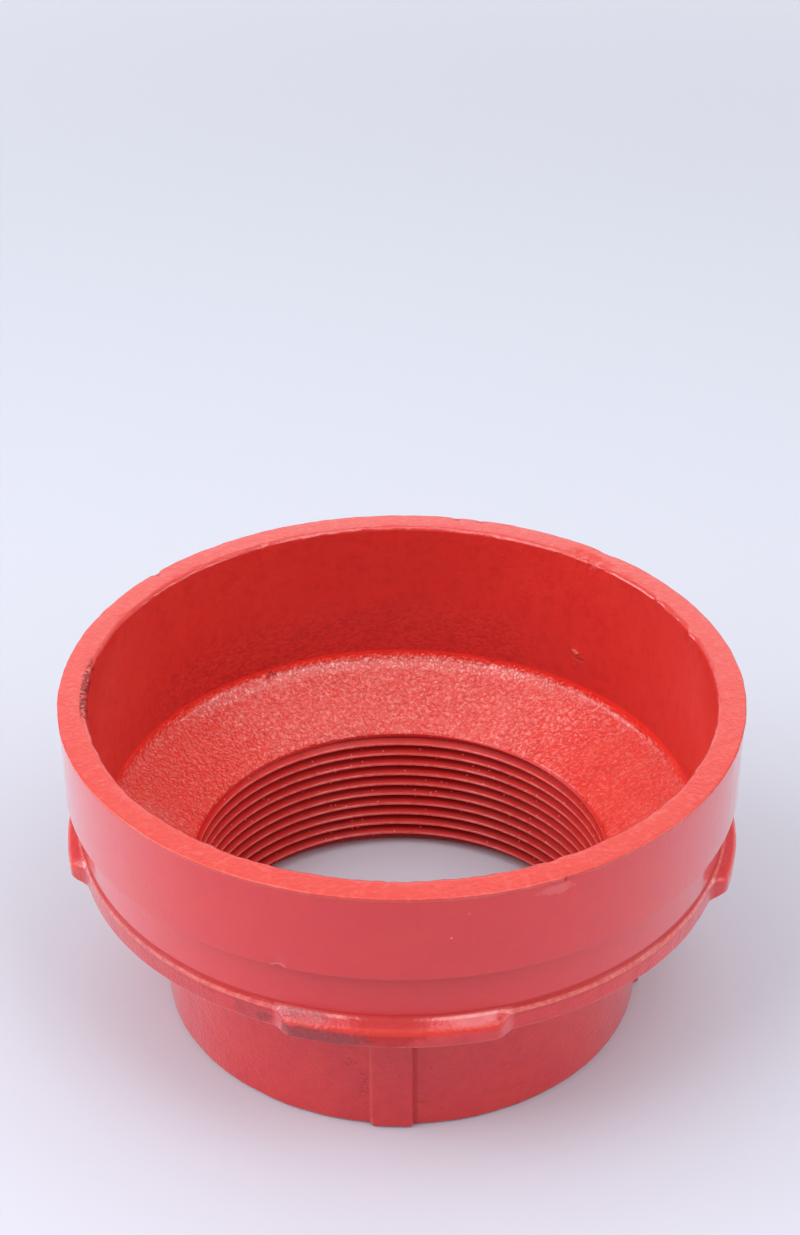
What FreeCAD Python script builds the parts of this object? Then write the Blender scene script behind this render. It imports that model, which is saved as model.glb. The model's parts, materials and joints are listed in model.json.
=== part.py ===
import FreeCAD, Part
import os

import Sketcher

# Grooved threaded reducer: one iron casting with a grooved spigot on top, a funnel-shaped floor
# inside, a stop ring with lugs outside, and a neck with a female pipe thread below.
# Millimetres. Z runs up the pipe axis. The origin is the centre of the neck's bottom face.

# The driving dimensions. Each name is also the alias of its cell in the sheet.
SIZES = {
    # Grooved spigot, for a nominal 100 mm coupling
    "total_height": 60.8,
    "spigot_diameter": 114.3,
    "spigot_wall": 4.7,
    "seat_length": 15.88,
    "groove_width": 8.74,
    "groove_depth": 2.11,
    "rim_outer_bevel": 0.4,
    "rim_inner_bevel": 0.6,
    # Cup wall and funnel floor inside
    "wall_taper": 1.5,
    "floor_rim_drop": 2.9,
    "floor_round": 4.0,
    # Stop ring under the groove
    "ring_rise": 0.55,
    "ring_depth": 4.9,
    "ring_bevel": 1.2,
    "ring_foot_bevel": 0.4,
    # Lugs on the stop ring
    "lug_count": 4,
    "lug_angle": 38.6,
    "lug_reach": 2.7,
    "lug_bevel": 1.9,
    "lug_foot_rise": 0.3,
    "lug_end_round": 1.8,
    "lug_foot_bevel": 0.5,
    # Threaded neck, for a 2 1/2 inch parallel pipe thread
    "thread_crest_diameter": 72.226,
    "thread_length": 25.9,
    "thread_mouth_bevel": 2.4,
    "thread_top_bevel": 0.8,
    "neck_wall": 5.887,
    "neck_shoulder_drop": 3.7,
    "neck_root_round": 3.0,
    "neck_foot_bevel": 0.6,
    # Ribs down the neck
    "rib_count": 4,
    "rib_width": 6.9,
    "rib_rise": 0.75,
    "rib_side_round": 0.5,
    "rib_foot_bevel": 0.6,
    # How far a shape that is joined or cut runs on past the surface that it meets
    "overrun": 2.0,
}

# Radii and heights worked out from the driving dimensions
SPIGOT_RADIUS = "(Sizes.spigot_diameter / 2)"
RIM_BORE_RADIUS = f"({SPIGOT_RADIUS} - Sizes.spigot_wall)"
GROOVE_RADIUS = f"({SPIGOT_RADIUS} - Sizes.groove_depth)"
RING_RADIUS = f"({GROOVE_RADIUS} + Sizes.ring_rise)"
LUG_RADIUS = f"({GROOVE_RADIUS} + Sizes.lug_reach)"
FLOOR_RIM_RADIUS = f"({RIM_BORE_RADIUS} - Sizes.wall_taper)"
CREST_RADIUS = "(Sizes.thread_crest_diameter / 2)"
TOP_BEVEL_RADIUS = f"({CREST_RADIUS} + Sizes.thread_top_bevel)"
MOUTH_RADIUS = f"({CREST_RADIUS} + Sizes.thread_mouth_bevel)"
NECK_RADIUS = f"({CREST_RADIUS} + Sizes.neck_wall)"
RIB_RADIUS = f"({NECK_RADIUS} + Sizes.rib_rise)"
RIB_HALF_WIDTH = "(Sizes.rib_width / 2)"
# The round at a lug's end takes up at most this share of the lug's height over the ring
END_ROUND_SHARE = 0.85
LUG_END_ROUND = f"min(Sizes.lug_end_round; {END_ROUND_SHARE} * (Sizes.lug_reach - Sizes.ring_rise))"

RIM_HEIGHT = "Sizes.total_height"
GROOVE_TOP = f"({RIM_HEIGHT} - Sizes.seat_length)"
GROOVE_MIDDLE = f"({GROOVE_TOP} - Sizes.groove_width / 2)"
GROOVE_FOOT = f"({GROOVE_TOP} - Sizes.groove_width)"
RING_FOOT = f"({GROOVE_FOOT} - Sizes.ring_depth)"
LUG_FOOT = f"({RING_FOOT} + Sizes.lug_foot_rise)"
FLOOR_RIM_HEIGHT = f"({GROOVE_FOOT} - Sizes.floor_rim_drop)"
THREAD_TOP = "Sizes.thread_length"
TOP_BEVEL_FOOT = f"({THREAD_TOP} - Sizes.thread_top_bevel)"
NECK_SHOULDER = f"({THREAD_TOP} - Sizes.neck_shoulder_drop)"

# Point positions and fixed geometry in a sketch
START = 1
END = 2
X_AXIS = -1
ORIGIN = (-1, 1)

FULL_TURN = 360

# How near an edge has to lie to the place where it is looked for
NEAR = 0.01


def make_sheet(document):
    sheet = document.addObject("Spreadsheet::Sheet", "Sizes")
    for row, (name, number) in enumerate(SIZES.items(), start=1):
        sheet.set(f"A{row}", name)
        sheet.set(f"B{row}", str(number))
        sheet.setAlias(f"B{row}", name)
    document.recompute()
    return sheet


def value(expression):
    """The number that an expression of the sheet's cells comes to now."""
    return float(FreeCAD.ActiveDocument.Sizes.evalExpression(str(expression)))


def origin_feature(body, role):
    return next(item for item in body.Origin.OriginFeatures if item.Role == role)


def draw_outline(body, name, corners, rounds=None, plane="XZ_Plane"):
    """A closed outline. Each corner has a name, its distance across the plane and its one up it.

    The corners that rounds names are rounded, and stay the place where the two lines would meet.
    """
    sketch = body.newObject("Sketcher::SketchObject", name)
    sketch.AttachmentSupport = [(origin_feature(body, plane), "")]
    sketch.MapMode = "FlatFace"
    places = [FreeCAD.Vector(value(across), value(up), 0) for _, across, up in corners]
    for start, end in zip(places, places[1:] + places[:1]):
        sketch.addGeometry(Part.LineSegment(start, end))
    for line, (corner, across, up) in enumerate(corners):
        following = (line + 1) % len(corners)
        sketch.addConstraint(Sketcher.Constraint("Coincident", line, END, following, START))
        hold_corner(sketch, line, "DistanceX", f"{corner}_across", across)
        hold_corner(sketch, line, "DistanceY", f"{corner}_up", up)
    lines = {corner: line for line, (corner, _, _) in enumerate(corners)}
    for corner, expression in (rounds or {}).items():
        round_corner(sketch, lines[corner], f"{corner}_round", expression)
    return sketch


def hold_corner(sketch, line, direction, name, expression):
    """Ties the start of a line to an expression, or to the axis across the plane where it is 0."""
    if expression == "0":
        sketch.addConstraint(Sketcher.Constraint("PointOnObject", line, START, X_AXIS))
        return
    distance = Sketcher.Constraint(direction, *ORIGIN, line, START, value(expression))
    tie_constraint(sketch, distance, name, expression)


def round_corner(sketch, line, name, expression):
    """Rounds the start of a line. The sketch gains an arc and the point where the corner was."""
    keep_corner = True
    trim = True
    arc = sketch.GeometryCount
    sketch.fillet(line, START, value(expression), trim, keep_corner)
    tie_constraint(sketch, Sketcher.Constraint("Radius", arc, value(expression)), name, expression)


def tie_constraint(sketch, constraint, name, expression):
    index = sketch.addConstraint(constraint)
    sketch.renameConstraint(index, name)
    sketch.setExpression(f"Constraints.{name}", expression)


def turn(body, kind, name, sketch, angle=None):
    """Revolves a sketch about the pipe axis: all the way round, or by an angle about its plane."""
    feature = body.newObject(kind, name)
    feature.Profile = sketch
    feature.ReferenceAxis = (sketch, ["V_Axis"])
    feature.Angle = FULL_TURN
    if angle is not None:
        feature.Midplane = True
        feature.setExpression("Angle", angle)
    return feature


def repeat_round_axis(body, name, original, count):
    pattern = body.newObject("PartDesign::PolarPattern", name)
    pattern.Originals = [original]
    pattern.Axis = (origin_feature(body, "Z_Axis"), [""])
    pattern.Angle = FULL_TURN
    pattern.setExpression("Occurrences", count)
    body.Tip = pattern
    return pattern


def edges_where(shape, wanted):
    return [f"Edge{number}" for number, edge in enumerate(shape.Edges, start=1) if wanted(edge)]


def round_edges(body, name, radius, wanted):
    """Rounds those edges of the body so far that the test picks."""
    FreeCAD.ActiveDocument.recompute()
    base = body.Tip
    feature = body.newObject("PartDesign::Fillet", name)
    feature.Base = (base, edges_where(base.Shape, wanted))
    feature.setExpression("Radius", radius)
    body.Tip = feature
    return feature


def radius_of(point):
    return (point.x ** 2 + point.y ** 2) ** 0.5


def stands_upright(edge, radius):
    """True for a straight edge along the pipe axis at a radius."""
    low, high = (edge.valueAt(edge.FirstParameter), edge.valueAt(edge.LastParameter))
    same_place = abs(low.x - high.x) < NEAR and abs(low.y - high.y) < NEAR
    return same_place and abs(radius_of(low) - radius) < NEAR


def cast_body(body):
    """The turned form: cup, stop ring, funnel floor and neck, bored and bevelled for the thread."""
    corners = [
        ("neck_bevel_foot", f"({NECK_RADIUS} - Sizes.neck_foot_bevel)", "0"),
        ("neck_bevel_head", NECK_RADIUS, "Sizes.neck_foot_bevel"),
        ("neck_shoulder", NECK_RADIUS, NECK_SHOULDER),
        ("ring_bevel_foot", f"({RING_RADIUS} - Sizes.ring_foot_bevel)", RING_FOOT),
        ("ring_bevel_head", RING_RADIUS, f"({RING_FOOT} + Sizes.ring_foot_bevel)"),
        ("ring_blank", RING_RADIUS, GROOVE_MIDDLE),
        ("spigot_blank", SPIGOT_RADIUS, GROOVE_MIDDLE),
        ("rim_bevel_foot", SPIGOT_RADIUS, f"({RIM_HEIGHT} - Sizes.rim_outer_bevel)"),
        ("rim_bevel_head", f"({SPIGOT_RADIUS} - Sizes.rim_outer_bevel)", RIM_HEIGHT),
        ("bore_bevel_head", f"({RIM_BORE_RADIUS} + Sizes.rim_inner_bevel)", RIM_HEIGHT),
        ("bore_bevel_foot", RIM_BORE_RADIUS, f"({RIM_HEIGHT} - Sizes.rim_inner_bevel)"),
        ("floor_rim", FLOOR_RIM_RADIUS, FLOOR_RIM_HEIGHT),
        ("top_bevel_head", TOP_BEVEL_RADIUS, THREAD_TOP),
        ("top_bevel_foot", CREST_RADIUS, TOP_BEVEL_FOOT),
        ("mouth_bevel_head", CREST_RADIUS, "Sizes.thread_mouth_bevel"),
        ("mouth_bevel_foot", MOUTH_RADIUS, "0"),
    ]
    rounds = {
        "neck_shoulder": "Sizes.neck_root_round",
        "floor_rim": "Sizes.floor_round",
    }
    sketch = draw_outline(body, "CastOutline", corners, rounds)
    body.Tip = turn(body, "PartDesign::Revolution", "CastForm", sketch)


def cut_coupling_groove(body):
    """The turned groove that the coupling's keys sit in. Its lower side runs on as the ring's bevel."""
    outside = f"({SPIGOT_RADIUS} + Sizes.overrun)"
    bevel_foot = f"({GROOVE_FOOT} - Sizes.ring_bevel)"
    corners = [
        ("floor_foot", GROOVE_RADIUS, GROOVE_FOOT),
        ("bevel_foot", RING_RADIUS, bevel_foot),
        ("outside_foot", outside, bevel_foot),
        ("outside_top", outside, GROOVE_TOP),
        ("floor_top", GROOVE_RADIUS, GROOVE_TOP),
    ]
    sketch = draw_outline(body, "GrooveOutline", corners)
    body.Tip = turn(body, "PartDesign::Groove", "CouplingGroove", sketch)


def add_lugs(body):
    """Lugs on the stop ring, with a sloping top, a flat foot and rounded ends."""
    inside = f"({GROOVE_RADIUS} - Sizes.overrun)"
    lug_crest = f"({GROOVE_FOOT} - Sizes.lug_bevel)"
    corners = [
        ("bevel_foot", f"({LUG_RADIUS} - Sizes.lug_foot_bevel)", LUG_FOOT),
        ("bevel_head", LUG_RADIUS, f"({LUG_FOOT} + Sizes.lug_foot_bevel)"),
        ("lug_crest", LUG_RADIUS, lug_crest),
        ("lug_top", GROOVE_RADIUS, GROOVE_FOOT),
        ("inside_top", inside, GROOVE_FOOT),
        ("inside_foot", inside, LUG_FOOT),
    ]
    sketch = draw_outline(body, "LugOutline", corners)
    lug = turn(body, "PartDesign::Revolution", "Lug", sketch, "Sizes.lug_angle")
    repeat_round_axis(body, "Lugs", lug, "Sizes.lug_count")
    radius = value(LUG_RADIUS)
    round_edges(body, "LugEnds", LUG_END_ROUND, lambda edge: stands_upright(edge, radius))


def add_ribs(body):
    """Flat ribs down the neck, in line with the lugs, with rounded sides and bevelled feet."""
    inside = f"({NECK_RADIUS} - Sizes.overrun)"
    outside = f"({RIB_RADIUS} + Sizes.overrun)"
    plan = [
        ("inside_right", inside, f"(-{RIB_HALF_WIDTH})"),
        ("face_right", RIB_RADIUS, f"(-{RIB_HALF_WIDTH})"),
        ("face_left", RIB_RADIUS, RIB_HALF_WIDTH),
        ("inside_left", inside, RIB_HALF_WIDTH),
    ]
    rounds = {
        "face_right": "Sizes.rib_side_round",
        "face_left": "Sizes.rib_side_round",
    }
    rib = body.newObject("PartDesign::Pad", "Rib")
    rib.Profile = draw_outline(body, "RibPlan", plan, rounds, "XY_Plane")
    rib.setExpression("Length", f"{NECK_SHOULDER} + Sizes.overrun")
    repeat_round_axis(body, "Ribs", rib, "Sizes.rib_count")
    bevel = [
        ("bevel_foot", f"({RIB_RADIUS} - Sizes.rib_foot_bevel)", "0"),
        ("outside_foot", outside, "0"),
        ("outside_head", outside, "(Sizes.rib_foot_bevel + Sizes.overrun)"),
    ]
    sketch = draw_outline(body, "RibFootOutline", bevel)
    body.Tip = turn(body, "PartDesign::Groove", "RibFeet", sketch)


def check_states(document):
    for item in document.Objects:
        for state in item.State:
            if state in ("Invalid", "Error"):
                raise RuntimeError(f"{item.Label} is {state}")


def export(body):
    shape = body.Shape
    if shape.isNull() or not shape.isValid():
        raise RuntimeError(f"{body.Label} has no valid shape")
    shape.exportStep(f"parts/{body.Label}.step")
    print(body.Label, "solids", len(shape.Solids), "volume", round(shape.Volume), shape.BoundBox)


def main():
    os.makedirs("parts", exist_ok=True)
    document = FreeCAD.newDocument("GroovedThreadedReducer")
    make_sheet(document)
    body = document.addObject("PartDesign::Body", "reducer_body")
    body.Placement = FreeCAD.Placement()
    cast_body(body)
    cut_coupling_groove(body)
    add_lugs(body)
    add_ribs(body)
    document.recompute()
    check_states(document)
    export(body)


main()
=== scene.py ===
import json
import math
from collections import namedtuple

import bmesh
import bpy
import numpy as np
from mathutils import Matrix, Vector, noise


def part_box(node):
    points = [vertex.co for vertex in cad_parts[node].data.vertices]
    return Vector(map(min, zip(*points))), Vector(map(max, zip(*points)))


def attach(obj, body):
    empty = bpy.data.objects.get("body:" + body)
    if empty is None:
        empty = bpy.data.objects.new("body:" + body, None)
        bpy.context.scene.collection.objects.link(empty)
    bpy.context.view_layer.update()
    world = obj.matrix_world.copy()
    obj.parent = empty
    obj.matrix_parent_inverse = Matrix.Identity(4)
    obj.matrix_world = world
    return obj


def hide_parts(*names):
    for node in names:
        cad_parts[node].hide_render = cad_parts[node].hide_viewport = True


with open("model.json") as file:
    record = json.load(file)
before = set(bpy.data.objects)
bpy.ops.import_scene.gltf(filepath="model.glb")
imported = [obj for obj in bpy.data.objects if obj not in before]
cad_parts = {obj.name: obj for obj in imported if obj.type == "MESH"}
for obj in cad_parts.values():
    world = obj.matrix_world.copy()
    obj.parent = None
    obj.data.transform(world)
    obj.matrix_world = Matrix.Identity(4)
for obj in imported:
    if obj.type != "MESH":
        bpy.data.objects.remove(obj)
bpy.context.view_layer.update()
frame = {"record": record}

# A grooved threaded reducer: one red enamelled iron casting. A grooved spigot opens upwards, a
# funnel floor leads to a threaded bore, and a lugged stop ring and a ribbed neck stand outside.
# Sizes are in millimetres and angles in degrees, counter-clockwise from the X axis. Z runs up the
# pipe axis from the neck's foot.

MM = 0.001
BODY = "root"
NODE = "reducer_body"
FULL_TURN = 360.0

# Sizes that the frame gives
FITS = {mount["name"]: mount["dims"] for mount in frame["record"]["mounts"]}
SPIGOT_RADIUS = FITS["grooved_spigot"]["r_mm"]
CREST_RADIUS = FITS["pipe_thread"]["r_mm"]
RIM_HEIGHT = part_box(NODE)[1].z / MM
LUG_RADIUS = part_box(NODE)[1].x / MM

# Spigot, coupling groove and cup
SPIGOT_WALL = 4.7
SEAT_LENGTH = 15.88
GROOVE_WIDTH = 8.74
GROOVE_DEPTH = 2.11
WALL_TAPER = 1.5
FLOOR_RIM_DROP = 2.9
FLOOR_ROUND = 2.2
RIM_LIP = 0.14
RIM_LIP_HEIGHT = 0.5
RIM_LIP_SLOPE = 0.2
RIM_LIP_ROUND = 0.08

# Stop ring and its lugs
RING_RISE = 0.55
RING_DEPTH = 4.9
RING_LEDGE_DROP = 0.45
RING_LEDGE_SLOPE = 1.0
RING_CREST_ROUND = 0.5
CONE_TOP_INSET = 0.7
LUG_CREST_ROUND = 1.6
FRONT_ANGLE = -90.0
FRONT_LUG_TURN = 0.8
LUG_BEVEL = 1.9
LUG_FOOT_RISE = 0.3
LUG_COUNT = 4
LUG_FACE_HALF_ANGLE = 16.2
LUG_ROOT_HALF_ANGLE = 20.2
LUG_ROOT_FILL = 0.6
LUG_ROOT_DROP = 0.25

# Threaded neck and its ribs
NECK_WALL = 5.887
THREAD_LENGTH = 25.9
THREAD_MOUTH_BEVEL = 2.4
THREAD_TOP_BEVEL = 0.8
NECK_SHOULDER_DROP = 3.7
NECK_ROOT_ROUND = 3.0
NECK_FOOT_ROUND = 0.7
RIB_COUNT = 4
RIB_WIDTH = 6.9
RIB_RISE = 0.75
RIB_SIDE = 0.55

# Rounds that the paint leaves on the machined and cast edges
EDGE_ROUND = 0.45
SEAT_EDGE_ROUND = 0.15
CORNER_FILL = 0.35
RIM_INSIDE_ROUND = 0.8
RIM_OUTSIDE_ROUND = 0.35
THREAD_MOUTH_ROUND = 0.2
THREAD_TOP_ROUND = 0.25

# Pipe thread with flanks at 55 degrees. A crest passes CREST_HEIGHT at CREST_ANGLE, at the back.
INCH = 25.4
TURNS_PER_INCH = 11
THREAD_DEPTH_SHARE = 0.6403
THREAD_PITCH = INCH / TURNS_PER_INCH
THREAD_DEPTH = THREAD_DEPTH_SHARE * THREAD_PITCH
CREST_HEIGHT = 14.27
CREST_ANGLE = 92.2
THREAD_FADE_START = 23.8
THREAD_FADE_LEFT = 0.25
THREAD_HEAD_DROP = 0.25
# Points of one turn of the thread: share of the pitch, share of the depth
THREAD_SECTION = [(0.0, 0.0), (0.06, 0.03), (0.122, 0.115), (0.378, 0.885),
                  (0.5, 1.0), (0.622, 0.885), (0.878, 0.115), (0.94, 0.03)]

# Heights and radii that follow
RIM_BORE_RADIUS = SPIGOT_RADIUS - SPIGOT_WALL
GROOVE_RADIUS = SPIGOT_RADIUS - GROOVE_DEPTH
RING_RADIUS = GROOVE_RADIUS + RING_RISE
FLOOR_RIM_RADIUS = RIM_BORE_RADIUS - WALL_TAPER
TOP_BEVEL_RADIUS = CREST_RADIUS + THREAD_TOP_BEVEL
MOUTH_RADIUS = CREST_RADIUS + THREAD_MOUTH_BEVEL
ROOT_RADIUS = CREST_RADIUS + THREAD_DEPTH
NECK_RADIUS = CREST_RADIUS + NECK_WALL
RIB_FACE = NECK_RADIUS + RIB_RISE
GROOVE_TOP = RIM_HEIGHT - SEAT_LENGTH
GROOVE_FOOT = GROOVE_TOP - GROOVE_WIDTH
RING_LEDGE = GROOVE_FOOT - RING_LEDGE_DROP
RING_FOOT = GROOVE_FOOT - RING_DEPTH
FLOOR_RIM_HEIGHT = GROOVE_FOOT - FLOOR_RIM_DROP
NECK_SHOULDER = THREAD_LENGTH - NECK_SHOULDER_DROP
THREAD_FOOT = THREAD_MOUTH_BEVEL - THREAD_DEPTH
THREAD_HEAD = THREAD_LENGTH - THREAD_HEAD_DROP

# Columns of points round the pipe axis, in degrees: their steps on the thread and on the surfaces
# outside and in the cup, and where closer ones stand round a lug's end and a rib's side. Round a
# mark they reach over so many times its own reach, and the last may stand past that by the slack.
THREAD_STEP = 2.0
COLUMN_STEP = 1.0
CLOSEST_COLUMNS = 0.1
LUG_END_COLUMNS = np.arange(-2.2, 3.1, 0.4)
RIB_SIDE_COLUMNS = np.arange(-0.6, 0.7, 0.12)
MARK_COLUMN_STEP = 0.3
MARK_COLUMN_REACH = 1.6
COLUMN_SLACK = 0.01

# Nicks, dents and lumps: angle, radius, height, reach and rise, which is negative for a dent
Mark = namedtuple("Mark", "angle radius height reach rise")
MARKS = [
    # On the rim's outer edge
    Mark(142.6, 57.3, 60.6, 0.9, -0.40),
    Mark(77.5, 57.4, 60.6, 0.9, -0.22),
    Mark(82.1, 57.4, 60.6, 1.1, -0.22),
    Mark(-61.9, 57.4, 60.1, 0.9, -0.35),
    # On its inner edge at the right, where it is worn down on both sides
    Mark(48.5, 52.6, 60.6, 1.8, -0.45),
    Mark(52.0, 52.6, 60.6, 1.8, -0.50),
    Mark(55.5, 52.6, 60.6, 1.8, -0.35),
    Mark(51.0, 57.3, 60.5, 2.0, -0.25),
    # Lumps on its inner edge
    Mark(20.5, 52.8, 60.6, 1.0, 0.35),
    Mark(33.1, 52.8, 60.6, 0.8, 0.25),
    # A blister on the cup's wall and a nick in the corner of its floor
    Mark(53.0, 51.9, 41.3, 1.3, 0.45),
    Mark(54.6, 51.8, 40.6, 0.9, -0.35),
    Mark(121.1, 51.3, 33.6, 1.1, -0.45),
    Mark(122.7, 51.2, 33.4, 0.9, 0.35),
    # On the seat's lower edge and the stop ring's ledge
    Mark(-107.3, 57.0, 45.0, 0.8, -0.35),
    Mark(-106.6, 56.5, 35.6, 0.7, -0.35),
]

# Marks with at least this reach need no closer columns. A radius in the spigot's wall parts the
# marks outside the casting from those in the cup.
BROAD_MARK = 1.5
WALL_MIDDLE = 55.0

Corner = namedtuple("Corner", "finish radius height rounding arc_steps run_steps")


def corner(finish, radius, height, rounding=0.0, arc_steps=0, run_steps=1):
    """A corner of the section. The finish and the steps are those of the run that follows it."""
    return Corner(finish, radius, height, rounding, arc_steps, run_steps)


def cone_height(radius):
    """Height of the cone under the stop ring at a radius."""
    rise = (RING_FOOT - NECK_SHOULDER) / (RING_RADIUS - NECK_RADIUS)
    return NECK_SHOULDER + (radius - NECK_RADIUS) * rise


def bevel_radius(height):
    """Radius of the bevels at the thread's two ends, and of its crests between them."""
    above = height - (THREAD_LENGTH - THREAD_TOP_BEVEL)
    below = THREAD_MOUTH_BEVEL - height
    return CREST_RADIUS + max(above, below, 0.0)


def outside_corners(neck_radius=NECK_RADIUS, ring_radius=RING_RADIUS, ring_foot=RING_FOOT,
                    ledge_foot=RING_LEDGE, ledge_crest=RING_LEDGE - RING_LEDGE_SLOPE,
                    ledge_fill=CORNER_FILL, crest_round=RING_CREST_ROUND):
    """The section from the foot of the thread out, up over the rim and down to the thread's head."""
    cone_top = RING_RADIUS - CONE_TOP_INSET
    lip_radius = SPIGOT_RADIUS + RIM_LIP
    lip_foot = RIM_HEIGHT - RIM_LIP_HEIGHT
    return [
        corner("thread", ROOT_RADIUS, THREAD_FOOT),
        corner("machined", MOUTH_RADIUS, 0.0, THREAD_MOUTH_ROUND, 2, 3),
        corner("cast", neck_radius, 0.0, NECK_FOOT_ROUND, 5, 13),
        corner("cast", neck_radius, cone_height(neck_radius), NECK_ROOT_ROUND, 6, 7),
        corner("cast", cone_top, cone_height(cone_top), 0.0, 0, 1),
        corner("cast", ring_radius, ring_foot, EDGE_ROUND, 4, 3),
        corner("cast", ring_radius, ledge_crest, crest_round, 5, 3),
        corner("machined", GROOVE_RADIUS, ledge_foot, ledge_fill, 5, 5),
        corner("machined", GROOVE_RADIUS, GROOVE_TOP, CORNER_FILL, 3, 1),
        corner("machined", SPIGOT_RADIUS, GROOVE_TOP, SEAT_EDGE_ROUND, 3, 9),
        corner("machined", SPIGOT_RADIUS, lip_foot - RIM_LIP_SLOPE, RIM_LIP_ROUND, 2, 1),
        corner("machined", lip_radius, lip_foot, RIM_LIP_ROUND, 2, 1),
        corner("machined", lip_radius, RIM_HEIGHT, RIM_OUTSIDE_ROUND, 5, 5),
        corner("cup_wall", RIM_BORE_RADIUS, RIM_HEIGHT, RIM_INSIDE_ROUND, 6, 20),
        corner("cup_floor", FLOOR_RIM_RADIUS, FLOOR_RIM_HEIGHT, FLOOR_ROUND, 9, 13),
        corner("cup_floor", TOP_BEVEL_RADIUS, THREAD_LENGTH, THREAD_TOP_ROUND, 3, 1),
        corner("thread", bevel_radius(THREAD_HEAD), THREAD_HEAD),
    ]


def arc_points(before, here, after, rounding, steps):
    """Points of the arc that rounds a corner between two runs."""
    backward = (before - here).normalized()
    forward = (after - here).normalized()
    half = backward.angle(forward) / 2
    middle = here + (backward + forward).normalized() * rounding / math.sin(half)
    start = here + backward * rounding / math.tan(half) - middle
    end = here + forward * rounding / math.tan(half) - middle
    return [middle + start.slerp(end, step / steps) * rounding for step in range(steps + 1)]


def section(corners):
    """The points of a section, and the finish of the strip that follows each point."""
    places = [Vector((spot.radius, spot.height)) for spot in corners]
    arcs = []
    for number, spot in enumerate(corners):
        if spot.arc_steps:
            arcs.append(arc_points(places[number - 1], places[number], places[number + 1],
                                   spot.rounding, spot.arc_steps))
        else:
            arcs.append([places[number]])
    outline = []
    strips = []
    for number, spot in enumerate(corners):
        outline += arcs[number]
        strips += [spot.finish] * (len(arcs[number]) - 1)
        if number + 1 < len(corners):
            start = arcs[number][-1]
            end = arcs[number + 1][0]
            outline += [start.lerp(end, step / spot.run_steps) for step in range(1, spot.run_steps)]
            strips += [spot.finish] * spot.run_steps
    return np.array(outline), strips


def smooth_step(value):
    value = min(max(value, 0.0), 1.0)
    return value * value * (3 - 2 * value)


def angle_from_nearest(angle, count):
    """Signed angle from the nearest of so many places that are spaced evenly from the X axis."""
    pitch = FULL_TURN / count
    return (angle + pitch / 2) % pitch - pitch / 2


def lug_share(angle):
    """How much of a lug's full reach the ring has at an angle."""
    off = angle_from_nearest(angle, LUG_COUNT)
    if abs(angle_from_nearest(angle - FRONT_ANGLE, 1)) < FULL_TURN / LUG_COUNT / 2:
        off -= FRONT_LUG_TURN
    off = abs(off)
    return smooth_step((LUG_ROOT_HALF_ANGLE - off) / (LUG_ROOT_HALF_ANGLE - LUG_FACE_HALF_ANGLE))


def rib_share(angle):
    """How much of a rib's rise the neck has at an angle. The rib's face is flat."""
    off = abs(math.radians(angle_from_nearest(angle, RIB_COUNT)))
    beside = NECK_RADIUS * math.sin(off) - RIB_WIDTH / 2
    if beside > RIB_SIDE:
        return 0.0
    flat_rise = RIB_FACE / math.cos(off) - NECK_RADIUS
    return smooth_step((RIB_SIDE / 2 - beside) / RIB_SIDE) * flat_rise / RIB_RISE


def column_angles(extra=(), step=COLUMN_STEP):
    """Angles of evenly spaced columns, and of closer ones at some more angles."""
    whole = list(np.arange(0.0, FULL_TURN, step))
    extra = list(extra)
    kept = []
    for angle in sorted(angle % FULL_TURN for angle in whole + extra):
        if angle in whole:
            if kept and angle - kept[-1] < CLOSEST_COLUMNS and kept[-1] not in whole:
                kept.pop()
            if not kept or kept[-1] != angle:
                kept.append(angle)
        elif angle - kept[-1] >= CLOSEST_COLUMNS:
            kept.append(angle)
    return kept


def outside_extra():
    """Closer columns at the lugs' ends and the ribs' sides."""
    rib_half_angle = math.degrees(math.asin(RIB_WIDTH / 2 / NECK_RADIUS))
    lug_end = (LUG_FACE_HALF_ANGLE + LUG_ROOT_HALF_ANGLE) / 2
    extra = []
    for place in range(LUG_COUNT):
        for side in (-1, 1):
            middle = FULL_TURN / LUG_COUNT * place
            extra += list(middle + side * (lug_end + LUG_END_COLUMNS))
            extra += list(middle + side * (rib_half_angle + RIB_SIDE_COLUMNS))
    return extra


def mark_extra(outside):
    """Closer columns at the small marks outside the casting, or at those in the cup."""
    extra = []
    for mark in MARKS:
        if (mark.radius > WALL_MIDDLE) == outside and mark.reach < BROAD_MARK:
            half = math.degrees(MARK_COLUMN_REACH * mark.reach / mark.radius)
            extra += list(mark.angle + np.arange(-half, half + COLUMN_SLACK, MARK_COLUMN_STEP))
    return extra


def turned(outline_at, angles):
    """Points of an outline turned about Z, one row for each of its points."""
    columns = []
    for angle in angles:
        outline = outline_at(angle)
        turn = math.radians(angle)
        columns.append(np.stack([outline[:, 0] * math.cos(turn), outline[:, 0] * math.sin(turn),
                                 outline[:, 1]], axis=1))
    return np.array(columns).transpose(1, 0, 2)


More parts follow.
